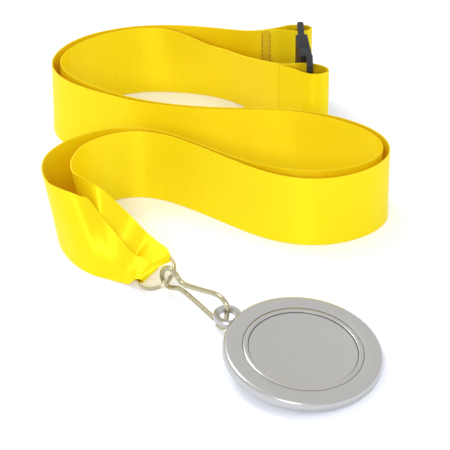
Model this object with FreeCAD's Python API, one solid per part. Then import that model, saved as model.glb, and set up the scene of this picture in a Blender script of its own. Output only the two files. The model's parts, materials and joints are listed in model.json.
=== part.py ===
import FreeCAD, Part
import math
import os

os.makedirs("parts", exist_ok=True)

V = FreeCAD.Vector
UP = V(0, 0, 1)

# Award medal on a folded neck ribbon, laid on a table.  Millimetres, +Z up.
# The pieces are laid out in a drafting frame and moved at the end, so that the finished
# object's origin is the middle of its footprint on the table.

# ---- driving sizes ----------------------------------------------------------------------
RIBBON_WIDTH = 25.4          # one inch satin ribbon
RIBBON_THICK = 0.5
STITCH_THICK = 0.2
STITCH_LENGTH = 1.3
STITCH_COUNT = 12

DISC_DIAMETER = 48.0
DISC_THICK = 3.8
DISC_EDGE_RADIUS = 1.2
BEAD_OUTER_DIAMETER = 36.2
BEAD_WIDTH = 1.7
BEAD_HEIGHT = 0.2
RECESS_DEPTH = 0.35
EYELET_DIAMETER = 8.8
EYELET_HOLE = 5.2
EYELET_THICK = 2.0
EYELET_BASE = 0.8            # underside of the eyelet over the disc's back
EYELET_REACH = 2.5           # eyelet centre beyond the disc's edge
DISC_TILT = 7.0              # degrees, eyelet end raised by the hook
EYELET_PLACE = V(0.6431, -57.2839, 0)   # where the hook holds the eyelet, in plan
DISC_HEADING = 147.8         # degrees, from the disc's centre to the eyelet

HOOK_WIRE = 1.6
HOOK_HEADING = 130.5         # degrees, from the eyelet to the ring
GATE_GAP = 0.3               # slit at the gate's root, so that it can flex

RING_MEAN_RADIUS = 6.3
RING_WIRE = 0.85
RING_GRIP_ALONG = 24.3       # where the ring passes through the hook's eye
RING_GRIP_Z = 5.6
RING_HEADING = -48.7         # degrees, from the ring's centre to the hook's eye
RING_RISE = 5.0              # degrees, the hook's side of the ring is raised
RING_BANK = 27.0             # degrees, the ring's right side is raised

POCKET_PLY = 0.45
POCKET_ROOM = 0.275          # air between the ring and each ply
POCKET_DEPTH = 7.0           # cavity behind the ring's centre
SEAM_REACH = 10.6            # sewn seam behind the ring's centre
SEAM_GAP = 0.5               # half the soft gap at the seam
SEAM_BANK = 28.5
SEAM_Z = 4.9

CLIP_HEIGHT = RIBBON_WIDTH + 4.6
CLIP_BAR = 1.8
CLIP_ARM_WIDTH = 2.1
CLIP_ARM_HEIGHT = 2.0
SOCKET_LENGTH = 8.0
SOCKET_WIDTH = 3.9
PLUG_LENGTH = 5.0
PRONG_LENGTH = 6.0
PRONG_WIDTH = 1.5
PRONG_HEIGHT = 3.4
PRONG_SPREAD = 6.4           # prong centres above and below the clip's middle
PRONG_CLEARANCE = 0.12
CLIP_BACK_BAR = V(24.8, 72.0, 0)
CLIP_FRONT_BAR = V(27.4, 46.7, 0)
SOCKET_BACK = V(25.0, 65.2, 0)

# ---- routes of the two ribbon strands -----------------------------------------------------
# Each station is (x, y, lift) of the lower edge and (dx, dy) of the upper edge from it.
# Where the strands are gathered, both edge points are given in full.
BACK_STRAND = [
    (12.0, 72.0, 1.4, 0.0, 0.0), (15.0, 72.1, 1.8, 0.0, 0.0), (18.0, 71.8, 2.1, 0.0, 0.0),
    (21.5, 71.0, 2.3, 0.0, 0.0), (25.0, 70.6, 2.3, 0.0, 0.0), (27.6, 71.3, 2.3, 0.0, 0.0),
    (28.6, 72.7, 2.3, 0.0, 0.0), (27.4, 74.0, 2.3, 0.0, 0.0), (24.5, 74.4, 2.3, 0.0, 0.0),
    (21.0, 74.2, 2.3, 0.0, 0.0), (17.5, 73.3, 2.0, 0.0, 0.0), (14.5, 72.8, 1.7, 0.0, 0.0),
    (11.0, 72.8, 1.2, 0.0, 0.0), (7.0, 73.5, 0.6, 0.0, 0.0), (1.0, 75.2, 0.1, 0.0, 0.0),
    (-6.0, 76.6, 0.0, 0.0, 0.0), (-14.0, 77.6, 0.0, 0.0, 0.0), (-22.0, 77.8, 0.0, 0.0, 0.0),
    (-30.0, 77.0, 0.0, 0.0, 0.0), (-38.0, 74.9, 0.0, 0.0, 0.0), (-45.5, 71.4, 0.0, 0.0, 0.0),
    (-51.5, 66.4, 0.0, 0.0, 0.0), (-55.2, 60.5, 0.0, 0.0, 0.0), (-56.3, 54.6, 0.0, 0.0, 0.0),
    (-54.4, 48.6, 0.0, 0.0, 0.0), (-50.0, 43.6, 0.0, 0.0, 0.0), (-43.5, 39.3, 0.0, 0.0, 0.0),
    (-36.0, 35.6, 0.0, 0.0, 0.0), (-27.5, 32.2, 0.0, 0.0, 0.0), (-18.5, 30.0, 0.0, 0.0, 0.0),
    (-9.0, 28.5, 0.0, 0.0, 0.0), (1.0, 27.8, 0.0, 0.0, 0.0), (11.0, 27.6, 0.0, 0.0, 0.0),
    (20.5, 26.9, 0.0, 0.0, 0.0), (29.5, 24.5, 0.0, 0.0, 0.0), (38.0, 20.6, 0.0, 0.0, 0.0),
    (45.0, 15.6, 0.0, 0.0, 0.0), (49.0, 9.6, 0.0, 0.0, 0.0), (48.9, 3.8, 0.0, 0.0, 0.0),
    (45.3, -1.0, 0.0, 0.0, 0.0), (39.0, -4.4, 0.0, 0.0, 0.0), (31.5, -6.0, 0.0, 0.0, 0.0),
    (24.0, -5.9, 0.0, 0.0, 0.0), (16.5, -4.6, 0.0, 0.0, 0.0), (9.0, -2.0, 0.0, 0.0, 0.0),
    (2.0, 1.8, 0.0, 0.0, 0.0), (-5.0, 6.4, 0.0, 0.0, 0.0), (-12.0, 11.1, 0.0, 0.0, 0.0),
    (-19.0, 15.0, 0.0, 0.0, 0.0), (-26.0, 17.2, 0.0, 0.0, 0.0), (-33.0, 17.3, 0.0, 0.0, 0.0),
    (-39.0, 15.6, 0.0, -0.4, 0.4), (-44.2, 12.0, 0.0, -1.4, 1.1), (-48.4, 7.4, 0.0, -3.2, 1.4),
    (-51.4, 1.8, 0.0, -4.7, 0.5), (-52.5, -4.4, 0.0, -4.4, -0.9),
    (-51.8, -10.2, 0.0, -3.0, -1.9), (-49.7, -15.8, 0.0, -1.9, 0.6),
    (-45.4, -22.3, 0.0, -2.2, 5.4), (-40.6, -26.4, 0.0, -3.8, 9.4),
    (-36.5, -28.4, 0.1, -42.1, -15.6, 21.2), (-32.6, -30.4, 0.3, -37.4, -17.5, 14.8),
    (-29.6, -31.8, 0.6, -32.3, -21.0, 10.0), (-27.4, -32.8, 0.9, -29.2, -23.9, 7.4),
    (-25.4, -33.6, 1.1, -27.6, -25.6, 6.8),
]
FRONT_STRAND = [
    (17.5, 51.95, 1.9, 0.0, -0.4), (13.4, 57.6, 1.2, 0.1, -3.3), (9.4, 63.2, 0.8, 0.3, -6.0),
    (4.8, 68.3, 0.3, 0.4, -7.6), (-0.6, 72.0, 0.0, 0.5, -7.4), (-6.4, 74.2, 0.0, 0.4, -6.7),
    (-12.6, 75.5, 0.0, 0.2, -3.8), (-19.5, 76.2, 0.0, 0.1, -0.8), (-27.0, 76.1, 0.0, 0.0, 0.0),
    (-34.5, 74.4, 0.0, 0.0, 0.0), (-41.8, 71.2, 0.0, 0.0, 0.0), (-48.0, 66.6, 0.0, 0.0, 0.0),
    (-52.1, 61.4, 0.0, 0.0, 0.0), (-53.6, 56.2, 0.0, 0.0, 0.0), (-52.2, 50.8, 0.0, 0.0, 0.0),
    (-48.2, 45.6, 0.0, 0.0, 0.0), (-42.0, 41.0, 0.0, 0.0, 0.0), (-34.9, 36.9, 0.0, 0.0, 0.0),
    (-26.9, 33.5, 0.0, 0.0, 0.0), (-18.3, 31.1, 0.0, 0.0, 0.0), (-8.9, 29.6, 0.0, 0.0, 0.0),
    (1.0, 28.8, 0.0, 0.0, 0.0), (11.2, 28.6, 0.0, 0.0, 0.0), (21.0, 27.9, 0.0, 0.0, 0.0),
    (30.3, 25.6, 0.0, 0.0, 0.0), (39.2, 21.7, 0.0, 0.0, 0.0), (46.6, 16.4, 0.0, 0.0, 0.0),
    (50.9, 10.0, 0.0, 0.0, 0.0), (51.3, 3.4, 0.0, 0.0, 0.0), (48.0, -2.4, 0.0, 0.0, 0.0),
    (41.6, -7.2, 0.0, 0.0, 0.0), (33.5, -10.1, 0.0, 0.0, 0.0), (25.0, -10.5, 0.0, 0.0, 0.0),
    (17.0, -8.7, 0.0, 0.0, 0.0), (9.2, -5.0, 0.0, 0.0, 0.0), (1.6, 0.1, 0.0, 0.0, 0.0),
    (-5.6, 5.2, 0.0, 0.0, 0.0), (-12.6, 9.9, 0.0, 0.0, 0.0), (-19.6, 13.6, 0.0, 0.0, 0.0),
    (-26.6, 15.3, 0.0, 0.0, 0.0), (-33.2, 14.4, 0.0, -0.2, 0.2), (-38.4, 11.0, 0.0, -1.4, 0.8),
    (-41.6, 6.2, 0.0, -3.6, 1.0), (-42.9, 0.6, 0.0, -5.0, -0.6), (-43.3, -5.4, 0.0, -4.1, -0.6),
    (-43.2, -12.4, 0.0, -1.2, 2.9), (-42.3, -19.0, 0.0, 1.6, 7.0),
    (-39.8, -24.2, 0.0, -37.2, -12.8, 22.2), (-36.4, -26.8, 0.1, -33.2, -12.6, 17.4),
    (-33.2, -28.5, 0.2, -29.2, -13.6, 13.4), (-30.4, -29.9, 0.3, -24.9, -16.9, 10.3),
    (-27.4, -31.2, 0.4, -19.6, -21.9, 7.8),
]
PLUG_LOOP = [
    (17.75, 51.8, 1.9, 0.0, -0.4), (20.4, 51.4, 2.1, 0.0, -0.3), (23.4, 51.3, 2.3, 0.0, -0.2),
    (27.0, 51.3, 2.3, 0.0, 0.0), (30.4, 50.3, 2.3, 0.0, 0.0), (33.0, 48.5, 2.3, 0.0, 0.0),
    (33.5, 46.6, 2.3, 0.0, 0.0), (31.6, 45.2, 2.3, 0.0, 0.0), (28.4, 44.8, 2.3, 0.0, 0.0),
    (25.2, 45.9, 2.3, 0.0, 0.0), (22.2, 48.0, 2.3, 0.0, 0.0), (19.6, 49.9, 2.1, 0.0, -0.4),
    (17.75, 51.1, 1.9, 0.0, -0.4),
]


def heading(degrees, bank=0.0):
    """Unit vector at a compass angle in the table's plane, raised by the bank angle."""
    turn, rise = math.radians(degrees), math.radians(bank)
    return V(math.cos(rise) * math.cos(turn), math.cos(rise) * math.sin(turn), math.sin(rise))


def edges_of(station, width):
    """Lower and upper edge points of a ribbon station."""
    if len(station) == 6:
        return V(*station[:3]), V(*station[3:])
    x, y, lift, dx, dy = station
    low = V(x, y, lift)
    rise = math.sqrt(width ** 2 - dx ** 2 - dy ** 2)
    return low, low + V(dx, dy, rise)


def strip(first, second):
    """Face ruled between two curves that share their knots."""
    surface = Part.BSplineSurface()
    span = (second.getPole(1) - first.getPole(1)).Length
    surface.buildFromPolesMultsKnots(
        [list(pair) for pair in zip(first.getPoles(), second.getPoles())],
        first.getMultiplicities(), [2, 2], first.getKnots(), [0.0, span], False, False, 3, 1,
    )
    return surface.toShape()


def ribbon(stations, width=RIBBON_WIDTH, thick=RIBBON_THICK):
    """A ribbon as a thin closed solid: four smooth edges, the faces between them, two ends."""
    pairs = [edges_of(s, width) for s in stations]
    middles = [(low + high) * 0.5 for low, high in pairs]
    spots = [0.0]
    for here, there in zip(middles, middles[1:]):
        spots.append(spots[-1] + (there - here).Length)
    corners = []
    for i, (low, high) in enumerate(pairs):
        before, after = middles[max(i - 1, 0)], middles[min(i + 1, len(pairs) - 1)]
        across = (after - before).cross(high - low)
        half = across.normalize() * (thick / 2)
        corners.append([low - half, low + half, high + half, high - half])
    curves = []
    for k in range(4):
        curve = Part.BSplineCurve()
        curve.interpolate(Points=[c[k] for c in corners], Parameters=spots)
        curves.append(curve)
    faces = []
    for start, finish in zip(spots, spots[1:]):
        for k in range(4):
            stretch = [curves[k].copy(), curves[(k + 1) % 4].copy()]
            for curve in stretch:
                curve.segment(start, finish)
            faces.append(strip(*stretch))
    for c in (corners[0], corners[-1]):
        faces.append(Part.Face(Part.makePolygon(c + c[:1])))
    shell = Part.makeShell(faces)
    shell.sewShape()
    solid = Part.makeSolid(shell)
    if solid.Volume < 0:
        solid.reverse()
    return solid


def tube(points, radius):
    """Round wire along a smooth curve through the points."""
    curve = Part.BSplineCurve()
    curve.interpolate(points)
    path = Part.Wire([curve.toShape()])
    start, ahead = points[0], curve.tangent(curve.FirstParameter)[0]
    ring = Part.Wire([Part.makeCircle(radius, start, ahead)])
    return path.makePipeShell([ring], True, False)


def slab(origin, across, along, outline, low, high):
    """Plate of a plan outline [(across, along)], between two heights over its plane."""
    normal = across.cross(along)
    corners = [origin + across * a + along * b + normal * low for a, b in outline]
    face = Part.Face(Part.makePolygon(corners + corners[:1]))
    return face.extrude(normal * (high - low))


# ---- medal --------------------------------------------------------------------------------
def make_medal():
    """Cast disc with a rounded rim, a raised bead, a recessed panel and its eyelet."""
    radius = DISC_DIAMETER / 2
    bead = BEAD_OUTER_DIAMETER / 2
    disc = Part.makeCylinder(radius, DISC_THICK)
    disc = disc.makeFillet(DISC_EDGE_RADIUS, [e for e in disc.Edges if len(e.Vertexes) == 1])
    bead_ring = Part.makeCylinder(bead, BEAD_HEIGHT + 0.5, V(0, 0, DISC_THICK - 0.5))
    recess = Part.makeCylinder(
        bead - BEAD_WIDTH, RECESS_DEPTH + BEAD_HEIGHT, V(0, 0, DISC_THICK - RECESS_DEPTH)
    )
    reach = radius + EYELET_REACH
    eyelet = Part.makeCylinder(EYELET_DIAMETER / 2, EYELET_THICK, V(reach, 0, EYELET_BASE))
    hole = Part.makeCylinder(EYELET_HOLE / 2, EYELET_THICK + 2, V(reach, 0, EYELET_BASE - 1))
    back_panel = Part.makeCylinder(radius - 3, 0.3, V(0, 0, 0))
    back_panel = back_panel.cut(Part.makeCylinder(radius - 4, 0.3, V(0, 0, 0)))
    solid = disc.fuse(bead_ring).cut(recess).fuse(eyelet).cut(hole).cut(back_panel)
    return solid.removeSplitter()


def medal_placement():
    """Turn towards the ring, tilt the eyelet end up, and rest the rim on the table."""
    tilt = math.radians(DISC_TILT)
    inner = DISC_DIAMETER / 2 - DISC_EDGE_RADIUS
    rest = inner * math.sin(tilt) + DISC_EDGE_RADIUS * (1 - math.cos(tilt))
    centre = EYELET_PLACE - heading(DISC_HEADING) * (
        (DISC_DIAMETER / 2 + EYELET_REACH) * math.cos(tilt)
    )
    turn = FreeCAD.Rotation(UP, DISC_HEADING)
    lean = FreeCAD.Rotation(V(0, 1, 0), -DISC_TILT)
    return FreeCAD.Placement(centre + V(0, 0, rest), turn.multiply(lean))


medal_place = medal_placement()
eyelet_wall = (EYELET_DIAMETER + EYELET_HOLE) / 4
wall_turn = math.radians(HOOK_HEADING - DISC_HEADING)
bend_centre = medal_place.multVec(
    V(
        DISC_DIAMETER / 2 + EYELET_REACH + eyelet_wall * math.cos(wall_turn),
        eyelet_wall * math.sin(wall_turn),
        EYELET_BASE + EYELET_THICK / 2,
    )
)
medal = make_medal()
medal.Placement = medal_place


# ---- hook: one bent wire, with its springy leg as the gate ------------------------------------
hook_ahead = heading(HOOK_HEADING)
hook_side = hook_ahead.cross(UP)


def on_hook(along, height):
    """Point in the hook's upright plane, at a height over the table."""
    return V(bend_centre.x, bend_centre.y, 0) + hook_ahead * along + UP * height


def make_hook():
    """Tip, bend, bowed leg, neck and eye in one run of wire."""
    bend = [(1.4, 2.3), (0.2, 1.75), (-1.2, 2.2), (-2.2, 3.6), (-2.6, 5.8)]
    leg = [(-3.1, 8.7), (-3.3, 11.1), (-2.0, 12.6), (0.3, 13.1), (3.2, 12.6), (6.6, 11.4),
           (10.4, 10.1), (14.4, 8.8), (17.0, 8.1), (18.9, 8.3)]
    eye = [(20.9, 9.6), (23.1, 10.3), (25.5, 9.4), (27.1, 7.4), (27.4, 5.1), (26.3, 3.3),
           (24.3, 2.9), (22.2, 3.8), (20.3, 4.75)]
    return tube([on_hook(*p) for p in bend + leg + eye], HOOK_WIRE / 2)


def make_gate():
    """Straight springy leg from the eye to the hook's tip."""
    run = [(20.3 - GATE_GAP, 4.87), (18.2, 5.2), (16.4, 5.2), (14.4, 5.0), (11.0, 4.55),
           (7.0, 3.95), (2.9, 3.3)]
    return tube([on_hook(*p) for p in run], HOOK_WIRE / 2)


# ---- split ring ------------------------------------------------------------------------------
grip = V(0, 0, RING_GRIP_Z) + V(bend_centre.x, bend_centre.y, 0) + hook_ahead * RING_GRIP_ALONG
ring_out = heading(RING_HEADING, RING_RISE)
ring_flat = heading(RING_HEADING + 90)
bank = math.radians(RING_BANK)
ring_side = ring_flat * math.cos(bank) + ring_out.cross(ring_flat) * math.sin(bank)
ring_normal = ring_out.cross(ring_side)
ring_centre = grip - ring_out * RING_MEAN_RADIUS


def make_ring():
    """Two close turns of wire, sprung together as a split ring."""
    turns = [
        Part.makeTorus(
            RING_MEAN_RADIUS, RING_WIRE / 2, ring_centre + ring_normal * (side * RING_WIRE / 2),
            ring_normal,
        )
        for side in (-0.94, 0.94)
    ]
    return turns[0].fuse(turns[1])


# ---- folded ribbon end that carries the ring ----------------------------------------------------
seam_ahead = heading(RING_HEADING)
seam_side = heading(RING_HEADING + 90, SEAM_BANK)
seam_centre = ring_centre - seam_ahead * SEAM_REACH
seam_centre.z = SEAM_Z


def make_pocket():
    """Top ply, bottom ply and fold round the ring, tapering to the sewn seam."""
    inside = RING_WIRE + POCKET_ROOM
    outside = inside + POCKET_PLY
    back = ring_out * -1
    fold = [(-4.8, 1.6), (-1.4, 1.4), (1.5, 0.6), (3.2, -0.8), (4.9, -2.3)]
    rear = POCKET_DEPTH + 0.6
    outline = fold + [(7.6, 0.4), (8.1, rear), (-6.4, rear), (-5.4, 4.0)]
    plies = slab(ring_centre, ring_side, back, outline, -outside, outside)
    room = [(a, b + 0.5) for a, b in fold]
    room = [(-12, room[0][1])] + room + [(12, room[-1][1]), (12, POCKET_DEPTH), (-12, POCKET_DEPTH)]
    plies = plies.cut(slab(ring_centre, ring_side, back, room, -inside, inside))
    near = ring_centre + back * (POCKET_DEPTH + 0.1)
    far = seam_centre + seam_ahead * SEAM_GAP
    ends = []
    for centre, side, left, right, half in (
        (near, ring_side, 6.2, 7.9, outside - 0.1), (far, seam_side, 8.2, 8.3, 0.8),
    ):
        normal = seam_ahead.cross(side).normalize()
        ends.append(Part.makePolygon([
            centre - side * left - normal * half, centre + side * right - normal * half,
            centre + side * right + normal * half, centre - side * left + normal * half,
            centre - side * left - normal * half,
        ]))
    web = Part.makeLoft(ends, True, True)
    return plies.fuse(web)


def before_seam(shape):
    """Keep the part of a strand that lies behind the seam."""
    start = seam_centre - ring_flat * 25 - UP * 40 - seam_ahead * SEAM_GAP
    corners = [start, start + ring_flat * 50, start + ring_flat * 50 + UP * 80, start + UP * 80]
    face = Part.Face(Part.makePolygon(corners + corners[:1]))
    return shape.cut(face.extrude(seam_ahead * 60)).Solids[0]


# ---- breakaway clip ------------------------------------------------------------------------------
clip_ahead = V(CLIP_FRONT_BAR.x - CLIP_BACK_BAR.x, CLIP_FRONT_BAR.y - CLIP_BACK_BAR.y, 0)
clip_ahead.normalize()
clip_side = UP.cross(clip_ahead)


def clip_block(start, length, width, low, high):
    """Upright block along the clip, from a start point on its centre line."""
    half = clip_side * (width / 2)
    finish = start + clip_ahead * length
    corners = [start - half, finish - half, finish + half, start + half]
    corners = [V(c.x, c.y, low) for c in corners]
    return Part.Face(Part.makePolygon(corners + corners[:1])).extrude(UP * (high - low))


def clip_frame(bar, body):
    """Upright bar inside the ribbon's loop, with an arm over and one under the ribbon."""
    towards = body - bar
    towards.z = 0
    reach = towards.Length
    towards.normalize()
    side = UP.cross(towards)
    start = bar - towards * (CLIP_BAR / 2)
    half = CLIP_ARM_WIDTH / 2

    def block(length, low, high):
        ends = [start - side * half, start + towards * length - side * half,
                start + towards * length + side * half, start + side * half]
        ends = [V(c.x, c.y, low) for c in ends]
        return Part.Face(Part.makePolygon(ends + ends[:1])).extrude(UP * (high - low))

    upright = block(CLIP_BAR, 0, CLIP_HEIGHT)
    arm_length = reach + CLIP_BAR / 2 + 0.3
    lower = block(arm_length, 0, CLIP_ARM_HEIGHT)
    upper = block(arm_length, CLIP_HEIGHT - CLIP_ARM_HEIGHT, CLIP_HEIGHT)
    return upright.fuse([lower, upper])


socket_front = SOCKET_BACK + clip_ahead * SOCKET_LENGTH
plug_back = socket_front + clip_ahead * 0.1
plug_front = plug_back + clip_ahead * PLUG_LENGTH
prong_levels = [CLIP_HEIGHT / 2 - PRONG_SPREAD, CLIP_HEIGHT / 2 + PRONG_SPREAD]


def make_socket():
    """Half of the clip on the back strand, with two sockets for the prongs."""
    body = clip_block(SOCKET_BACK, SOCKET_LENGTH, SOCKET_WIDTH, 0, CLIP_HEIGHT)
    body = body.fuse(clip_frame(CLIP_BACK_BAR, SOCKET_BACK))
    for level in prong_levels:
        height = PRONG_HEIGHT / 2 + PRONG_CLEARANCE
        room = clip_block(
            socket_front - clip_ahead * (PRONG_LENGTH + 0.3), PRONG_LENGTH + 1,
            PRONG_WIDTH + 2 * PRONG_CLEARANCE, level - height, level + height,
        )
        body = body.cut(room)
    return body


def make_plug():
    """Half of the clip on the front strand, with its two prongs."""
    body = clip_block(plug_back, PLUG_LENGTH, SOCKET_WIDTH, 0, CLIP_HEIGHT)
    body = body.fuse(clip_frame(CLIP_FRONT_BAR, V(CLIP_FRONT_BAR.x, plug_front.y, 0)))
    for level in prong_levels:
        prong = clip_block(
            plug_back - clip_ahead * PRONG_LENGTH, PRONG_LENGTH + 1, PRONG_WIDTH,
            level - PRONG_HEIGHT / 2, level + PRONG_HEIGHT / 2,
        )
        body = body.fuse(prong)
    return body


# ---- thread ---------------------------------------------------------------------------------------
def make_stitches():
    """Two upright rows of thread across the back strand's sewn loop."""
    bars = []
    for x, y in ((12.3, 72.02), (14.9, 72.1)):
        for i in range(STITCH_COUNT):
            z = 3.6 + i * (RIBBON_WIDTH - 4.0) / (STITCH_COUNT - 1)
            low = V(x - 0.2, y - RIBBON_THICK / 2 - STITCH_THICK, z - STITCH_LENGTH / 2)
            bars.append(Part.makeBox(0.4, STITCH_THICK + 0.1, STITCH_LENGTH, low))
    return Part.makeCompound(bars)


# ---- all pieces ------------------------------------------------------------------------------------
pieces = {
    "ribbon_back_strand": before_seam(ribbon(BACK_STRAND)),
    "ribbon_front_strand": before_seam(ribbon(FRONT_STRAND)),
    "ribbon_plug_loop": ribbon(PLUG_LOOP),
    "ribbon_ring_fold": make_pocket(),
    "clip_socket": make_socket(),
    "clip_plug": make_plug(),
    "split_ring": make_ring(),
    "hook": make_hook(),
    "hook_gate": make_gate(),
    "medal_disc": medal,
    "loop_stitching": make_stitches(),
}

box = FreeCAD.BoundBox()
for shape in pieces.values():
    box.add(shape.optimalBoundingBox(False))
shift = V(-box.Center.x, -box.Center.y, -box.ZMin)
for name, shape in pieces.items():
    shape.translate(shift)
    shape.exportStep(f"parts/{name}.step")
    b = shape.optimalBoundingBox(False)
    print(name, shape.ShapeType, shape.isValid(), len(shape.Solids), round(shape.Volume, 1),
          [round(c, 1) for c in (b.XMin, b.XMax, b.YMin, b.YMax, b.ZMin, b.ZMax)])
print("shift", shift, "box", box)
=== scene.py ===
# %% [markdown]
# # An award medal on its neck ribbon
# The medal lies on a table. Its long satin ribbon is folded in loose curves and stands on edge.
# A bent-wire hook joins the disc's eyelet to a small split ring, and the ring sits in a sewn
# fold of the ribbon. The far ends of the ribbon are looped through a black breakaway clip.
# The imported model is loaded first, because most pieces made here ride on one of its bodies.

# %% Load the imported model
import json
import math
import bmesh
import bpy
from mathutils import Matrix, Vector


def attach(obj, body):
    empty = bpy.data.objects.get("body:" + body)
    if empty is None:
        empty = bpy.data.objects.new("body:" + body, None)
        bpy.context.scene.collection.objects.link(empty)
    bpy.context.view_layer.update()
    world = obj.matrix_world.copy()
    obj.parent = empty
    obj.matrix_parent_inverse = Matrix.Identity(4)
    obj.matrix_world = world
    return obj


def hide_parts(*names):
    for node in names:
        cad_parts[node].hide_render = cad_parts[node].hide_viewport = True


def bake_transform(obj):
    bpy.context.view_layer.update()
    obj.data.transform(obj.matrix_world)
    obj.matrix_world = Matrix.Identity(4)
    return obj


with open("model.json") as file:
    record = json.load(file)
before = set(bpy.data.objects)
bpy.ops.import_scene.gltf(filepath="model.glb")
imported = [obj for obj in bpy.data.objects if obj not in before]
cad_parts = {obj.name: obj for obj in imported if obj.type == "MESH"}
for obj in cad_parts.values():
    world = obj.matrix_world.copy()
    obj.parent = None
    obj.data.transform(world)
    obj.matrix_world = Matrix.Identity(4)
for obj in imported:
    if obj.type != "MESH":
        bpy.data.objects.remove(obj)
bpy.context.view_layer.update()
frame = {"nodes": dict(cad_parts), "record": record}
MM = 0.001                    # routes and sizes below are in millimetres
joints = {joint["name"]: joint for joint in frame["record"]["behaviour"]["joints"]}
DRAFT_SHIFT = Vector((2.7140, 8.6673, 0.1160))   # from the routes' frame to the model's, mm

# %% [markdown]
# ## Camera, table and light
# The view comes from the front, 36 degrees above the table, through a long lens. The table is
# almost white, so the shadows stay pale, as on a sheet of paper under soft lamps; a faint cool
# glow in it, which is painted light, also lifts its shadows and keeps the yellow out of them.

# %% Camera
ELEVATION = math.radians(36.0)
DISTANCE = 1.0
LENS = 252.8
SENSOR = 36
target = DRAFT_SHIFT * MM
away = Vector((0, -math.cos(ELEVATION), math.sin(ELEVATION)))
bpy.ops.object.camera_add(
    location=target + away * DISTANCE,
    rotation=(math.pi / 2 - ELEVATION, 0, 0),
)
camera = bpy.context.object
camera.data.sensor_width = SENSOR
camera.data.lens = LENS
camera.data.clip_end = 10
bpy.context.scene.camera = camera
print("camera", tuple(round(c, 3) for c in camera.location))

# %% Plain colour response, so that white paper stays white and satin stays bright
bpy.context.scene.view_settings.view_transform = "Standard"
print("view transform", bpy.context.scene.view_settings.view_transform)


# %% Colour and node helpers
def linear(code):
    """Linear RGBA of an sRGB hex colour."""
    channels = [int(code[i:i + 2], 16) / 255 for i in (1, 3, 5)]
    return [c / 12.92 if c <= 0.04045 else ((c + 0.055) / 1.055) ** 2.4 for c in channels] + [1.0]


def new_finish(name, colour, **settings):
    """Material with its Principled shader's own sockets set."""
    finish = bpy.data.materials.new(name)
    finish.use_nodes = True
    shader = finish.node_tree.nodes["Principled BSDF"]
    shader.inputs["Base Color"].default_value = linear(colour)
    for socket, value in settings.items():
        shader.inputs[socket.replace("_", " ")].default_value = value
    return finish, finish.node_tree, shader


def add_node(tree, kind, links=(), **values):
    """Add a node, set its properties and sockets, and link other nodes' outputs into it."""
    node = tree.nodes.new(kind)
    for key, value in values.items():
        if hasattr(node, key):
            setattr(node, key, value)
        else:
            node.inputs[key.replace("_", " ")].default_value = value
    for socket, output in links:
        tree.links.new(output, node.inputs[socket])
    return node


# %% Table: matt white, with a faint cool glow that keeps the yellow out of its shadows
# Painted light: the emission makes the table glow faintly blue, which lifts its shadows.
table_finish = new_finish(
    "table_white", "#F4F6FB", Roughness=0.9,
    Emission_Color=linear("#DCE8FF"), Emission_Strength=0.16,
)[0]
bpy.ops.mesh.primitive_plane_add(size=6, location=(0, 0, 0))
table_top = bpy.context.object
table_top.name = "table_top"
table_top.data.materials.append(table_finish)
print("table", tuple(round(c, 2) for c in table_top.dimensions))

# %% An even white studio, and two soft lamps that draw the satin's bands
world = bpy.data.worlds.new("studio")
bpy.context.scene.world = world
world.use_nodes = True
world.node_tree.nodes["Background"].inputs["Color"].default_value = linear("#FFFFFF")
world.node_tree.nodes["Background"].inputs["Strength"].default_value = 0.89


def soft_lamp(name, location, aim, size, power):
    """Square area lamp that faces a point."""
    bpy.ops.object.light_add(type="AREA", location=location)
    lamp = bpy.context.object
    lamp.name = name
    lamp.data.size = size
    lamp.data.energy = power
    lamp.rotation_euler = (Vector(aim) - Vector(location)).to_track_quat("-Z", "Y").to_euler()


soft_lamp("key_lamp", (-0.45, 0.35, 0.9), (0, 0, 0), 0.3, 2.6)
soft_lamp("front_lamp", (-0.12, -0.95, 0.6), (0, 0, 0), 0.22, 3.4)

# %% [markdown]
# ## The satin ribbon
# Satin has long, smooth floats of polyester yarn along the ribbon, so its shine is drawn out
# across them: each fold shows one soft upright band. The anisotropic gloss does that, and its
# tangent and the pattern follow the cloth by the ribbon's own UV map, where U runs along the
# ribbon and V across it, both in millimetres. The cloth is thin enough to let some light
# through, so a little subsurface light keeps the folds golden. A very weak warm glow in the
# satin adds to it; that glow is painted light for the light through the cloth and between the
# folds.

# %% Satin finish
RIB_SPACING = math.tau / 11   # about 0.57 mm, coarser than real yarn so that it can show


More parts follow.
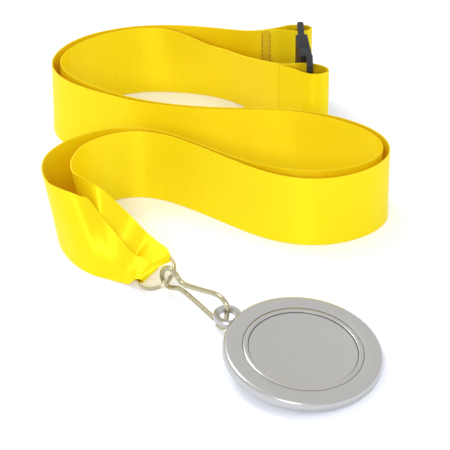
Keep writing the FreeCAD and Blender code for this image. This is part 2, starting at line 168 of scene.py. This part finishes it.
def satin(name, colour, dark):
    """Woven polyester satin: fine ribs across it, uneven yarn, and soft ripples."""
    # Painted light: the weak orange emission makes the satin glow a little, which warms its folds'
    # shade.
    finish, tree, shader = new_finish(
        name, colour, Metallic=0.36, Roughness=0.45, Specular_IOR_Level=0.3, Anisotropic=0.85,
        Anisotropic_Rotation=0.25, Subsurface_Weight=0.4,
        Subsurface_Radius=(1.0, 0.6, 0.03), Subsurface_Scale=0.0006,
        Emission_Color=linear("#FF7A10"), Emission_Strength=0.035,
    )
    grain_way = add_node(tree, "ShaderNodeTangent", direction_type="UV_MAP", uv_map="cloth")
    tree.links.new(grain_way.outputs[0], shader.inputs["Tangent"])
    uv = add_node(tree, "ShaderNodeUVMap", uv_map="cloth")
    split = add_node(tree, "ShaderNodeSeparateXYZ", [("Vector", uv.outputs["UV"])])
    ribs = add_node(
        tree, "ShaderNodeMath", [(0, split.outputs["X"])], operation="MULTIPLY",
    )
    ribs.inputs[1].default_value = math.tau / RIB_SPACING
    rib_wave = add_node(tree, "ShaderNodeMath", [(0, ribs.outputs[0])], operation="SINE")
    stretch = add_node(tree, "ShaderNodeMapping", [("Vector", uv.outputs["UV"])])
    stretch.inputs["Scale"].default_value = (2.2, 0.05, 1.0)
    streaks = add_node(
        tree, "ShaderNodeTexNoise", [("Vector", stretch.outputs[0])], Scale=1.0, Detail=4.0,
    )
    ripple_map = add_node(tree, "ShaderNodeMapping", [("Vector", uv.outputs["UV"])])
    ripple_map.inputs["Scale"].default_value = (0.07, 0.05, 1.0)
    ripples = add_node(
        tree, "ShaderNodeTexNoise", [("Vector", ripple_map.outputs[0])], Scale=1.0, Detail=1.0,
    )
    tint = add_node(
        tree, "ShaderNodeMix", [("Factor", streaks.outputs["Fac"])], data_type="RGBA",
    )
    tint.inputs[6].default_value = linear(dark)
    tint.inputs[7].default_value = linear(colour)
    tree.links.new(tint.outputs[2], shader.inputs["Base Color"])
    fine = add_node(
        tree, "ShaderNodeBump", [("Height", rib_wave.outputs[0])], Strength=0.06, Distance=0.00003,
    )
    grain = add_node(
        tree, "ShaderNodeBump",
        [("Height", streaks.outputs["Fac"]), ("Normal", fine.outputs[0])],
        Strength=0.12, Distance=0.00005,
    )
    soft = add_node(
        tree, "ShaderNodeBump",
        [("Height", ripples.outputs["Fac"]), ("Normal", grain.outputs[0])],
        Strength=0.5, Distance=0.0007,
    )
    tree.links.new(soft.outputs[0], shader.inputs["Normal"])
    return finish


# The face is a clear yellow; the tight woven edge is a little deeper and marks each fold's rim.
satin_face = satin("ribbon_satin", "#F7E500", "#F1DA00")
satin_edge = satin("ribbon_selvage", "#EFD400", "#E8CA00")
print("finishes", satin_face.name, satin_edge.name)

# %% [markdown]
# ## The way the ribbon lies
# A ribbon on edge is a ruled sheet: a straight line from its lower edge to its upper edge, which
# moves along the fold. Stations along each strand give that line, and a smooth curve joins them.
# A cloth simulation would let the ribbon fall over, so it is laid from given stations.

# %% Routes of the two strands
# Lower edge x, y and lift, then the upper edge's step sideways, in millimetres. Where the
# ribbon is gathered, both edges are given as points.
BACK_STRAND = [
    (12.0, 72.0, 1.4, 0.0, 0.0), (15.0, 72.1, 1.8, 0.0, 0.0), (18.0, 71.8, 2.1, 0.0, 0.0),
    (21.5, 71.0, 2.3, 0.0, 0.0), (25.0, 70.6, 2.3, 0.0, 0.0), (27.6, 71.3, 2.3, 0.0, 0.0),
    (28.6, 72.7, 2.3, 0.0, 0.0), (27.4, 74.0, 2.3, 0.0, 0.0), (24.5, 74.4, 2.3, 0.0, 0.0),
    (21.0, 74.2, 2.3, 0.0, 0.0), (17.5, 73.3, 2.0, 0.0, 0.0), (14.5, 72.8, 1.7, 0.0, 0.0),
    (11.0, 72.8, 1.2, 0.0, 0.0), (7.0, 73.5, 0.6, 0.0, 0.0), (1.0, 75.2, 0.1, 0.0, 0.0),
    (-6.0, 76.6, 0.0, 0.0, 0.0), (-14.0, 77.6, 0.0, 0.0, 0.0), (-22.0, 77.8, 0.0, 0.0, 0.0),
    (-30.0, 77.0, 0.0, 0.0, 0.0), (-38.0, 74.9, 0.0, 0.0, 0.0), (-45.5, 71.4, 0.0, 0.0, 0.0),
    (-51.5, 66.4, 0.0, 0.0, 0.0), (-55.2, 60.5, 0.0, 0.0, 0.0), (-56.3, 54.6, 0.0, 0.0, 0.0),
    (-54.4, 48.6, 0.0, 0.0, 0.0), (-50.0, 43.6, 0.0, 0.0, 0.0), (-43.5, 39.3, 0.0, 0.0, 0.0),
    (-36.0, 35.6, 0.0, 0.0, 0.0), (-27.5, 32.2, 0.0, 0.0, 0.0), (-18.5, 30.0, 0.0, 0.0, 0.0),
    (-9.0, 28.5, 0.0, 0.0, 0.0), (1.0, 27.8, 0.0, 0.0, 0.0), (11.0, 27.6, 0.0, 0.0, 0.0),
    (20.5, 26.9, 0.0, 0.0, 0.0), (29.5, 24.5, 0.0, 0.0, 0.0), (38.0, 20.6, 0.0, 0.0, 0.0),
    (45.0, 15.6, 0.0, 0.0, 0.0), (49.0, 9.6, 0.0, 0.0, 0.0), (48.9, 3.8, 0.0, 0.0, 0.0),
    (45.3, -1.0, 0.0, 0.0, 0.0), (39.0, -4.4, 0.0, 0.0, 0.0), (31.5, -6.0, 0.0, 0.0, 0.0),
    (24.0, -5.9, 0.0, 0.0, 0.0), (16.5, -4.6, 0.0, 0.0, 0.0), (9.0, -2.0, 0.0, 0.0, 0.0),
    (2.0, 1.8, 0.0, 0.0, 0.0), (-5.0, 6.4, 0.0, 0.0, 0.0), (-12.0, 11.1, 0.0, 0.0, 0.0),
    (-19.0, 15.0, 0.0, 0.0, 0.0), (-26.0, 17.2, 0.0, 0.0, 0.0), (-33.0, 17.3, 0.0, 0.0, 0.0),
    (-39.0, 15.6, 0.0, -0.4, 0.4), (-44.2, 12.0, 0.0, -1.4, 1.1), (-48.4, 7.4, 0.0, -3.2, 1.4),
    (-51.4, 1.8, 0.0, -4.7, 0.5), (-52.5, -4.4, 0.0, -4.4, -0.9),
    (-51.8, -10.2, 0.0, -3.0, -1.9), (-49.7, -15.8, 0.0, -1.9, 0.6),
    (-45.4, -22.3, 0.0, -2.2, 5.4), (-40.6, -26.4, 0.0, -3.8, 9.4),
    (-36.5, -28.4, 0.1, -42.1, -15.6, 21.2), (-32.6, -30.4, 0.3, -37.4, -17.5, 14.8),
    (-29.6, -31.8, 0.6, -32.3, -21.0, 10.0), (-27.4, -32.8, 0.9, -29.2, -23.9, 7.4),
    (-25.4, -33.6, 1.1, -27.6, -25.6, 6.8),
]
FRONT_STRAND = [
    (17.7, 51.85, 1.9, 0.0, -0.4), (13.4, 57.6, 1.2, 0.1, -3.3), (9.4, 63.2, 0.8, 0.3, -6.0),
    (4.8, 68.3, 0.3, 0.4, -7.6), (-0.6, 72.0, 0.0, 0.5, -7.4), (-6.4, 74.2, 0.0, 0.4, -6.7),
    (-12.6, 75.5, 0.0, 0.2, -3.8), (-19.5, 76.2, 0.0, 0.1, -0.8), (-27.0, 76.1, 0.0, 0.0, 0.0),
    (-34.5, 74.4, 0.0, 0.0, 0.0), (-41.8, 71.2, 0.0, 0.0, 0.0), (-48.0, 66.6, 0.0, 0.0, 0.0),
    (-52.1, 61.4, 0.0, 0.0, 0.0), (-53.6, 56.2, 0.0, 0.0, 0.0), (-52.2, 50.8, 0.0, 0.0, 0.0),
    (-48.2, 45.6, 0.0, 0.0, 0.0), (-42.0, 41.0, 0.0, 0.0, 0.0), (-34.9, 36.9, 0.0, 0.0, 0.0),
    (-26.9, 33.5, 0.0, 0.0, 0.0), (-18.3, 31.1, 0.0, 0.0, 0.0), (-8.9, 29.6, 0.0, 0.0, 0.0),
    (1.0, 28.8, 0.0, 0.0, 0.0), (11.2, 28.6, 0.0, 0.0, 0.0), (21.0, 27.9, 0.0, 0.0, 0.0),
    (30.3, 25.6, 0.0, 0.0, 0.0), (39.2, 21.7, 0.0, 0.0, 0.0), (46.6, 16.4, 0.0, 0.0, 0.0),
    (50.9, 10.0, 0.0, 0.0, 0.0), (51.3, 3.4, 0.0, 0.0, 0.0), (48.0, -2.4, 0.0, 0.0, 0.0),
    (41.6, -7.2, 0.0, 0.0, 0.0), (33.5, -10.1, 0.0, 0.0, 0.0), (25.0, -10.5, 0.0, 0.0, 0.0),
    (17.0, -8.7, 0.0, 0.0, 0.0), (9.2, -5.0, 0.0, 0.0, 0.0), (1.6, 0.1, 0.0, 0.0, 0.0),
    (-5.6, 5.2, 0.0, 0.0, 0.0), (-12.6, 9.9, 0.0, 0.0, 0.0), (-19.6, 13.6, 0.0, 0.0, 0.0),
    (-26.6, 15.3, 0.0, 0.0, 0.0), (-33.2, 14.4, 0.0, -0.2, 0.2), (-38.4, 11.0, 0.0, -1.4, 0.8),
    (-41.6, 6.2, 0.0, -3.6, 1.0), (-42.9, 0.6, 0.0, -5.0, -0.6), (-43.3, -5.4, 0.0, -4.1, -0.6),
    (-43.2, -12.4, 0.0, -1.2, 2.9), (-42.3, -19.0, 0.0, 1.6, 7.0),
    (-39.8, -24.2, 0.0, -37.2, -12.8, 22.2), (-36.4, -26.8, 0.1, -33.2, -12.6, 17.4),
    (-33.2, -28.5, 0.2, -29.2, -13.6, 13.4), (-30.4, -29.9, 0.3, -24.9, -16.9, 10.3),
    (-27.4, -31.2, 0.4, -19.6, -21.9, 7.8),
]
PLUG_LOOP = [
    (17.75, 51.8, 1.9, 0.0, -0.4), (20.4, 51.4, 2.1, 0.0, -0.3), (23.4, 51.3, 2.3, 0.0, -0.2),
    (27.0, 51.3, 2.3, 0.0, 0.0), (30.4, 50.3, 2.3, 0.0, 0.0), (33.0, 48.5, 2.3, 0.0, 0.0),
    (33.5, 46.6, 2.3, 0.0, 0.0), (31.6, 45.2, 2.3, 0.0, 0.0), (28.4, 44.8, 2.3, 0.0, 0.0),
    (25.2, 45.9, 2.3, 0.0, 0.0), (22.2, 48.0, 2.3, 0.0, 0.0), (19.6, 49.9, 2.1, 0.0, -0.4),
    (17.75, 51.1, 1.9, 0.0, -0.4),
]
RIBBON_WIDTH = 25.4
BACK_CUT = (-49.7, -15.8)     # where each strand's gathered end begins
FRONT_CUT = (-43.3, -5.4)
print("stations", len(BACK_STRAND), len(FRONT_STRAND), len(PLUG_LOOP))


# %% Headings in the table's plane
def heading(degrees):
    """Unit vector at an angle from +X."""
    turn = math.radians(degrees)
    return Vector((math.cos(turn), math.sin(turn), 0))


seam_ahead = heading(-48.7)
hook_ahead = heading(130.5)
print("headings", [tuple(round(c, 3) for c in way) for way in (seam_ahead, hook_ahead)])

# %% The ring's own directions, which the sewn fold follows
RING_RISE = math.radians(5)
ring_centre = Vector(joints["ring_turn"]["pos_m"])
ring_normal = Vector(joints["ring_turn"]["axis"]).normalized()
ring_out = seam_ahead * math.cos(RING_RISE) + Vector((0, 0, math.sin(RING_RISE)))
ring_side = ring_normal.cross(ring_out)


def on_ring(side, back, up):
    """Point in millimetres, measured from the ring's centre: to its side, back and up."""
    return ring_centre / MM + ring_side * side - ring_out * back + ring_normal * up


# The ends of both strands run round the ring: the side, back and up of the two edges.
BACK_FOLD = [
    ((-5.6, 3.3, 1.2), (1.0, 7.2, 2.1)), ((-4.9, 2.3, 1.0), (1.4, 4.2, 1.6)),
    ((-4.5, 1.8, 0.4), (1.5, 1.5, 1.35)), ((-4.5, 1.7, -0.6), (1.5, 0.45, 0.0)),
    ((-5.0, 2.9, -1.3), (1.4, 1.5, -1.4)), ((-5.4, 5.5, -1.3), (1.2, 5.5, -1.4)),
]
FRONT_FOLD = [
    ((-4.5, 8.0, 0.8), (8.5, 7.5, 1.7)), ((-1.5, 5.5, 1.1), (8.3, 4.2, 1.25)),
    ((0.2, 3.2, 1.0), (8.0, 1.4, 1.15)), ((0.9, 1.7, 0.75), (6.9, -0.6, 1.05)),
    ((1.1, 1.1, 0.0), (5.9, -2.1, 0.1)), ((0.9, 1.8, -0.9), (6.9, -0.6, -0.95)),
    ((0.0, 5.5, -0.95), (8.0, 4.5, -1.1)),
]


# %% Smooth rows between stations
def smooth_rows(rows, step=1.2):
    """Even, smooth rows between given ones, by a centripetal spline."""
    result = []
    for i in range(len(rows) - 1):
        a, b = rows[max(i - 1, 0)], rows[i]
        c, d = rows[i + 1], rows[min(i + 2, len(rows) - 1)]
        gaps = [max((q[0] - p[0]).length ** 0.5, 1e-6) for p, q in ((a, b), (b, c), (c, d))]
        count = max(1, round((c[0] - b[0]).length / step))
        for k in range(count):
            t = k / count
            row = []
            for pa, pb, pc, pd in zip(a, b, c, d):
                ahead = (pc - pb) / gaps[1]
                slope_b = ahead - (pc - pa) / (gaps[0] + gaps[1]) + (pb - pa) / gaps[0]
                slope_c = (pd - pc) / gaps[2] - (pd - pb) / (gaps[1] + gaps[2]) + ahead
                if i == 0:
                    slope_b = ahead
                if i == len(rows) - 2:
                    slope_c = ahead
                slope_b, slope_c = slope_b * gaps[1], slope_c * gaps[1]
                row.append(
                    pb * (2 * t ** 3 - 3 * t ** 2 + 1) + slope_b * (t ** 3 - 2 * t ** 2 + t)
                    + pc * (3 * t ** 2 - 2 * t ** 3) + slope_c * (t ** 3 - t ** 2)
                )
            result.append(row)
    result.append(list(rows[-1]))
    return result


# %% Cloth with thickness and its own UV map
SHEET_THICK = 0.34
ACROSS = 10


def cloth_piece(name, rows):
    """Ruled cloth sheet through rows of points, with its own UV map and real thickness."""
    cloth = bmesh.new()
    uv = cloth.loops.layers.uv.new("cloth")
    grid, spots = [], [0.0]
    for i, row in enumerate(rows):
        if i:
            middle = (row[0] + row[-1] - rows[i - 1][0] - rows[i - 1][-1]) / 2
            spots.append(spots[-1] + middle.length)
        line = []
        for k in range(ACROSS + 1):
            place = k / ACROSS * (len(row) - 1)
            j = min(int(place), len(row) - 2)
            line.append(cloth.verts.new(row[j].lerp(row[j + 1], place - j) * MM))
        grid.append(line)
    for i in range(len(grid) - 1):
        for k in range(ACROSS):
            marks = ((i, k), (i + 1, k), (i + 1, k + 1), (i, k + 1))
            face = cloth.faces.new([grid[a][b] for a, b in marks])
            for loop, (a, b) in zip(face.loops, marks):
                loop[uv].uv = (spots[a], b / ACROSS * RIBBON_WIDTH)
            face.smooth = True
    mesh = bpy.data.meshes.new(name)
    cloth.to_mesh(mesh)
    cloth.free()
    piece = bpy.data.objects.new(name, mesh)
    bpy.context.scene.collection.objects.link(piece)
    piece.data.materials.append(satin_face)
    piece.data.materials.append(satin_edge)
    bpy.ops.object.select_all(action="DESELECT")
    bpy.context.view_layer.objects.active = piece
    piece.select_set(True)
    shell = piece.modifiers.new("thickness", "SOLIDIFY")
    shell.thickness = SHEET_THICK * MM
    shell.offset = 0
    shell.material_offset_rim = 1
    bpy.ops.object.modifier_apply(modifier=shell.name)
    bpy.ops.object.shade_smooth_by_angle(angle=math.radians(50))
    print(name, len(piece.data.polygons), "faces", round(spots[-1], 1), "mm long")
    return piece


# %% Stations as rows of points
def route_rows(stations):
    """Lower and upper edge points, in the model's frame, for every station of a strand."""
    rows = []
    for station in stations:
        if len(station) == 6:
            rows.append((Vector(station[:3]) + DRAFT_SHIFT, Vector(station[3:]) + DRAFT_SHIFT))
            continue
        x, y, lift, dx, dy = station
        low = Vector((x, y, lift)) + DRAFT_SHIFT
        rise = math.sqrt(RIBBON_WIDTH ** 2 - dx ** 2 - dy ** 2)
        rows.append((low, low + Vector((dx, dy, rise))))
    return rows


def nearest_row(rows, x, y):
    """Number of the row whose lower edge is nearest a place on the table."""
    spot = Vector((x, y, 0)) + DRAFT_SHIFT
    return min(range(len(rows)), key=lambda i: (rows[i][0] - spot).length)


# %% [markdown]
# ## Cutting the ribbon into pieces
# Each strand is one run of cloth up to the ring, but its last part is gathered, sewn and folded
# round the ring, and bends where the seam is. So each strand is cut into a laid piece, which
# stays with the ribbon, and an end piece, which stays fixed in the table's frame.

# %% The two strands and the plug's loop
back_route = route_rows(BACK_STRAND[:-2])
back_route.append((on_ring(-6.7, 4.6, 0.3), Vector((-29.2, -23.9, 7.4)) + DRAFT_SHIFT))
back_route += [(on_ring(*low), on_ring(*high)) for low, high in BACK_FOLD]
back_rows = smooth_rows(back_route)
front_route = route_rows(FRONT_STRAND[:-1])
front_route += [(on_ring(*low), on_ring(*high)) for low, high in FRONT_FOLD]
front_rows = smooth_rows(front_route)
plug_rows = smooth_rows(route_rows(PLUG_LOOP))
back_cut = nearest_row(back_rows, *BACK_CUT)
front_cut = nearest_row(front_rows, *FRONT_CUT)
back_strand = cloth_piece("back_strand", back_rows[:back_cut + 1])
front_strand = cloth_piece("front_strand", front_rows[:front_cut + 1])
back_end = cloth_piece("back_strand_end", back_rows[back_cut:])
front_end = cloth_piece("front_strand_end", front_rows[front_cut:])
plug_loop = cloth_piece("plug_loop", plug_rows)

# %% Greyer patch: the two sewn plies lie flat on each other there, so it looks duller
sewn_patch = satin("ribbon_sewn_patch", "#EAD01C", "#E0C416")
PATCH_X = (11.9, 15.4)
PATCH_Y = (60, 72.45)
back_strand.data.materials.append(sewn_patch)
patched = 0
for face in back_strand.data.polygons:
    spot = face.center / MM - DRAFT_SHIFT
    if PATCH_X[0] < spot.x < PATCH_X[1] and PATCH_Y[0] < spot.y < PATCH_Y[1]:
        face.material_index = 2
        patched += 1
print("patch", patched, "faces")

# %% What the sheets stand for
for piece, node, body, length in (
    (back_strand, "ribbon_back_strand", "ribbon", 0.375),
    (front_strand, "ribbon_front_strand", "ribbon", 0.335),
    (plug_loop, "ribbon_plug_loop", "clip_plug_half", 0.036),
):
    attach(piece, body)
    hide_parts(node)

# %% The gathered ends stay fixed in the table's frame, in place of the imported ring fold
for piece in (back_end, front_end):
    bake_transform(piece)
    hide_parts("ribbon_ring_fold")

# %% [markdown]
# ## Wire parts
# The hook is one length of nickel-plated wire. It is drawn as a curve with a round bevel and
# then made a mesh, which is how a bent wire is easiest to shape.

# %% Nickel and plate finishes
def plated(name, colour, rough, scale, wear):
    """Plated metal: a slightly uneven polish and fine handling marks."""
    finish, tree, shader = new_finish(name, colour, Metallic=1.0, Roughness=rough)
    spot = add_node(tree, "ShaderNodeTexCoord")
    cloud = add_node(
        tree, "ShaderNodeTexNoise", [("Vector", spot.outputs["Object"])], Scale=scale, Detail=5.0,
    )
    polish = add_node(
        tree, "ShaderNodeMapRange", [("Value", cloud.outputs["Fac"])],
        To_Min=rough * 0.7, To_Max=rough * 1.5,
    )
    tree.links.new(polish.outputs[0], shader.inputs["Roughness"])
    dents = add_node(
        tree, "ShaderNodeBump", [("Height", cloud.outputs["Fac"])], Strength=wear, Distance=0.0001,
    )
    tree.links.new(dents.outputs[0], shader.inputs["Normal"])
    return finish


# Nickel plating on wire is bright and slightly warm; the plated casting is cooler and smoother.
nickel = plated("wire_nickel", "#BDB698", 0.24, 300, 0.03)
silver = plated("medal_plate", "#C2C1BF", 0.26, 120, 0.02)


# %% Wire helper
def wire_piece(name, points, radius, finish, resolution=10):
    """Round wire through points, as a mesh."""
    bpy.ops.object.select_all(action="DESELECT")
    data = bpy.data.curves.new(name, "CURVE")
    data.dimensions = "3D"
    spline = data.splines.new("BEZIER")
    spline.bezier_points.add(len(points) - 1)
    for knot, point in zip(spline.bezier_points, points):
        knot.co = point
        knot.handle_left_type = "AUTO"
        knot.handle_right_type = "AUTO"
    data.bevel_depth = radius
    data.bevel_resolution = 5
    data.resolution_u = resolution
    data.use_fill_caps = True
    piece = bpy.data.objects.new(name, data)
    bpy.context.scene.collection.objects.link(piece)
    bpy.context.view_layer.objects.active = piece
    piece.select_set(True)
    bpy.ops.object.convert(target="MESH")
    piece = bpy.context.object
    bpy.ops.object.shade_smooth_by_angle(angle=math.radians(50))
    piece.data.materials.clear()
    piece.data.materials.append(finish)
    print(name, len(piece.data.polygons), "faces")
    return piece


# %% Hook: one wire from the tip, round the eyelet and over to the eye
bend_centre = Vector(joints["medal_swing"]["pos_m"])


def on_hook(along, height):
    """Point in the hook's upright plane, at a height over the table."""
    foot = Vector((bend_centre.x, bend_centre.y, DRAFT_SHIFT.z * MM))
    return foot + hook_ahead * along * MM + Vector((0, 0, height * MM))


HOOK_RUN = [
    (1.4, 2.3), (0.2, 1.75), (-1.2, 2.2), (-2.2, 3.6), (-2.6, 5.8), (-3.1, 8.7), (-3.3, 11.1),
    (-2.0, 12.6), (0.3, 13.1), (3.2, 12.6), (6.6, 11.4), (10.4, 10.1), (14.4, 8.8), (17.0, 8.1),
    (18.9, 8.3), (20.9, 9.6), (23.1, 10.3), (25.5, 9.4), (27.1, 7.4), (27.4, 5.1), (26.3, 3.3),
    (24.3, 2.9), (22.2, 3.8), (20.3, 4.75),
]
HOOK_RADIUS = 0.8 * MM
GATE_RADIUS = 0.79 * MM       # a hair finer, so that its root hides inside the hook's wire
GATE_RUN = [
    (21.0, 4.4), (20.3, 4.75), (19.3, 5.05), (18.2, 5.2), (16.4, 5.2), (14.4, 5.0), (11.0, 4.55),
    (7.0, 3.95), (2.9, 3.3),
]
hook_wire = wire_piece("hook_wire", [on_hook(*p) for p in HOOK_RUN], HOOK_RADIUS, nickel)
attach(hook_wire, "hook")
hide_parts("hook")

# %% Gate: the same wire's springy leg, fixed in the table's frame
gate_wire = wire_piece("gate_wire", [on_hook(*p) for p in GATE_RUN], GATE_RADIUS, nickel)
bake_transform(gate_wire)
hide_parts("hook_gate")

# %% Split ring: two turns of fine wire with a crossing
RING_RADIUS = 6.3 * MM
RING_WIRE_RADIUS = 0.4 * MM
POINTS_A_TURN = 28
START_ANGLE = 150
ring_run = []
for step in range(2 * POINTS_A_TURN + 1):
    turn = math.radians(START_ANGLE + step * 360 / POINTS_A_TURN)
    crossing = min(max((step - POINTS_A_TURN + 3) / 4, 0), 1)
    height = (2 * crossing - 1) * RING_WIRE_RADIUS
    ring_run.append(
        ring_centre + ring_out * (RING_RADIUS * math.cos(turn))
        + ring_side * (RING_RADIUS * math.sin(turn)) + ring_normal * height
    )
split_ring = wire_piece("split_ring_wire", ring_run, RING_WIRE_RADIUS, nickel, 5)
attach(split_ring, "ring")
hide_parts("split_ring")

# %% [markdown]
# ## The medal
# The disc is cast in zinc and plated. A profile of its rim, bead and recessed panel is spun
# round, which gives every ring the same soft edges as the casting.

# %% A helper that spins a profile into a solid of revolution
def spun(name, profile, steps, centre=0.0, closed=False):
    """Profile [(radius, height)] in mm, spun round an upright axis at x = centre."""
    bpy.ops.object.select_all(action="DESELECT")
    links = [(i, i + 1) for i in range(len(profile) - 1)]
    if closed:
        links.append((len(profile) - 1, 0))
    mesh = bpy.data.meshes.new(name)
    mesh.from_pydata([((centre + r) * MM, 0, z * MM) for r, z in profile], links, [])
    piece = bpy.data.objects.new(name, mesh)
    bpy.context.scene.collection.objects.link(piece)
    bpy.context.view_layer.objects.active = piece
    piece.select_set(True)
    bpy.ops.object.mode_set(mode="EDIT")
    bpy.ops.mesh.select_all(action="SELECT")
    bpy.ops.mesh.spin(steps=steps, angle=math.tau, center=(centre * MM, 0, 0), axis=(0, 0, 1))
    bpy.ops.mesh.select_all(action="SELECT")
    bpy.ops.mesh.remove_doubles(threshold=0.00001)
    bpy.ops.mesh.normals_make_consistent(inside=False)
    bpy.ops.object.mode_set(mode="OBJECT")
    print(name, len(piece.data.polygons), "faces")
    return piece


# %% The disc, with a groove on each side of its bead
# Painted shade: the top faces in the grooves get a darker plate, which draws the two fine lines
# beside the bead.
DISC_PROFILE = [
    (0.0, 0.0), (19.9, 0.0), (20.1, 0.25), (20.9, 0.25), (21.1, 0.0), (22.8, 0.0), (23.26, 0.09),
    (23.65, 0.35), (23.91, 0.74), (24.0, 1.2), (24.0, 2.6), (23.91, 3.06), (23.65, 3.45),
    (23.26, 3.71), (22.8, 3.8), (18.35, 3.8), (18.2, 3.72), (18.1, 3.75), (17.95, 3.88),
    (17.65, 3.98), (17.25, 4.0), (16.9, 3.97), (16.7, 3.88), (16.6, 3.7), (16.5, 3.5),
    (16.35, 3.45), (0.0, 3.45),
]
medal_body = spun("medal_body", DISC_PROFILE, 160)
groove_shade = plated("medal_groove_shade", "#6C6B6A", 0.3, 120, 0.02)
GROOVES = ((18.1, 18.36), (16.36, 16.56))
medal_body.data.materials.append(silver)
medal_body.data.materials.append(groove_shade)
# Painted shade: top faces inside the two grooves take the dark plate.
for face in medal_body.data.polygons:
    reach = face.center.xy.length / MM
    on_top = face.center.z > 3.3 * MM
    face.material_index = int(on_top and any(near < reach < far for near, far in GROOVES))

# %% Eyelet: a flat lug with a round hole and softened edges
LUG_PROFILE = [
    (2.6, 1.1), (2.9, 0.8), (4.1, 0.8), (4.4, 1.1),
    (4.4, 2.45), (4.1, 2.8), (2.9, 2.8), (2.6, 2.5),
]
EYELET_REACH = 26.5
eyelet = spun("eyelet", LUG_PROFILE, 72, centre=EYELET_REACH, closed=True)
for finish in (silver, groove_shade):
    eyelet.data.materials.append(finish)
medal_body.select_set(True)
bpy.context.view_layer.objects.active = medal_body
bpy.ops.object.join()

# %% Lay the medal: turned towards the ring, its eyelet end raised, its rim on the table
TILT = math.radians(7.0)
TOWARDS_RING = math.radians(147.8)
FLAT_RADIUS = 22.8            # the underside is flat out to here, and the rim is round beyond
RIM_RADIUS = 1.2
DISC_CENTRE = (22.9, -71.3)
rest = FLAT_RADIUS * math.sin(TILT) + RIM_RADIUS * (1 - math.cos(TILT))
place = (
    Matrix.Translation((Vector((*DISC_CENTRE, rest)) + DRAFT_SHIFT) * MM)
    @ Matrix.Rotation(TOWARDS_RING, 4, "Z") @ Matrix.Rotation(-TILT, 4, "Y")
)
medal_body.data.transform(place)
bpy.ops.object.shade_smooth_by_angle(angle=math.radians(35))
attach(medal_body, "medal")
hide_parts("medal_disc")

# %% [markdown]
# ## Breakaway clip
# The clip is moulded in dark plastic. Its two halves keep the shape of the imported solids, with
# the moulded edges softened by a bevel.

# %% Clip halves
# Moulded plastic is half matt with fine pores, so its edges show only a soft grey shine.
MOULDED_EDGE = 0.45
moulded, tree, shader = new_finish(
    "clip_plastic", "#1E1D21", Roughness=0.5, Specular_IOR_Level=0.35,
)
spot = add_node(tree, "ShaderNodeTexCoord")
grain = add_node(
    tree, "ShaderNodeTexNoise", [("Vector", spot.outputs["Object"])], Scale=2600.0, Detail=3.0,
)
pores = add_node(
    tree, "ShaderNodeBump", [("Height", grain.outputs["Fac"])], Strength=0.25, Distance=0.0001,
)
tree.links.new(pores.outputs[0], shader.inputs["Normal"])


def softened_copy(node, name, body, width):
    """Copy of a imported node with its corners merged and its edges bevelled."""
    bpy.ops.object.select_all(action="DESELECT")
    source = frame["nodes"][node]
    copy = bpy.data.objects.new(name, source.data.copy())
    bpy.context.scene.collection.objects.link(copy)
    bpy.context.view_layer.objects.active = copy
    copy.select_set(True)
    bpy.ops.object.mode_set(mode="EDIT")
    bpy.ops.mesh.select_all(action="SELECT")
    bpy.ops.mesh.remove_doubles(threshold=0.00001)
    bpy.ops.mesh.dissolve_limited(angle_limit=math.radians(3))
    bpy.ops.object.mode_set(mode="OBJECT")
    bevel = copy.modifiers.new("moulded_edge", "BEVEL")
    bevel.width = width * MM
    bevel.segments = 3
    bevel.limit_method = "ANGLE"
    bpy.ops.object.modifier_apply(modifier=bevel.name)
    bpy.ops.object.shade_smooth_by_angle(angle=math.radians(40))
    copy.data.materials.clear()
    copy.data.materials.append(moulded)
    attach(copy, body)
    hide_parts(node)
    print(name, len(copy.data.polygons), "faces")


softened_copy("clip_socket", "clip_socket_half", "ribbon", MOULDED_EDGE)
softened_copy("clip_plug", "clip_plug_half_shell", "clip_plug_half", MOULDED_EDGE)

# %% [markdown]
# ## Sewing thread
# Two upright rows of polyester thread close the rear loop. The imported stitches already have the
# right size and place, so they only get their finish: matt, and duller than the satin.

# %% Thread
thread = new_finish("sewing_thread", "#C0A020", Roughness=0.6)[0]
stitches = frame["nodes"]["loop_stitching"]
stitches.data.materials.clear()
stitches.data.materials.append(thread)
print("stitches", len(stitches.data.polygons), "faces")
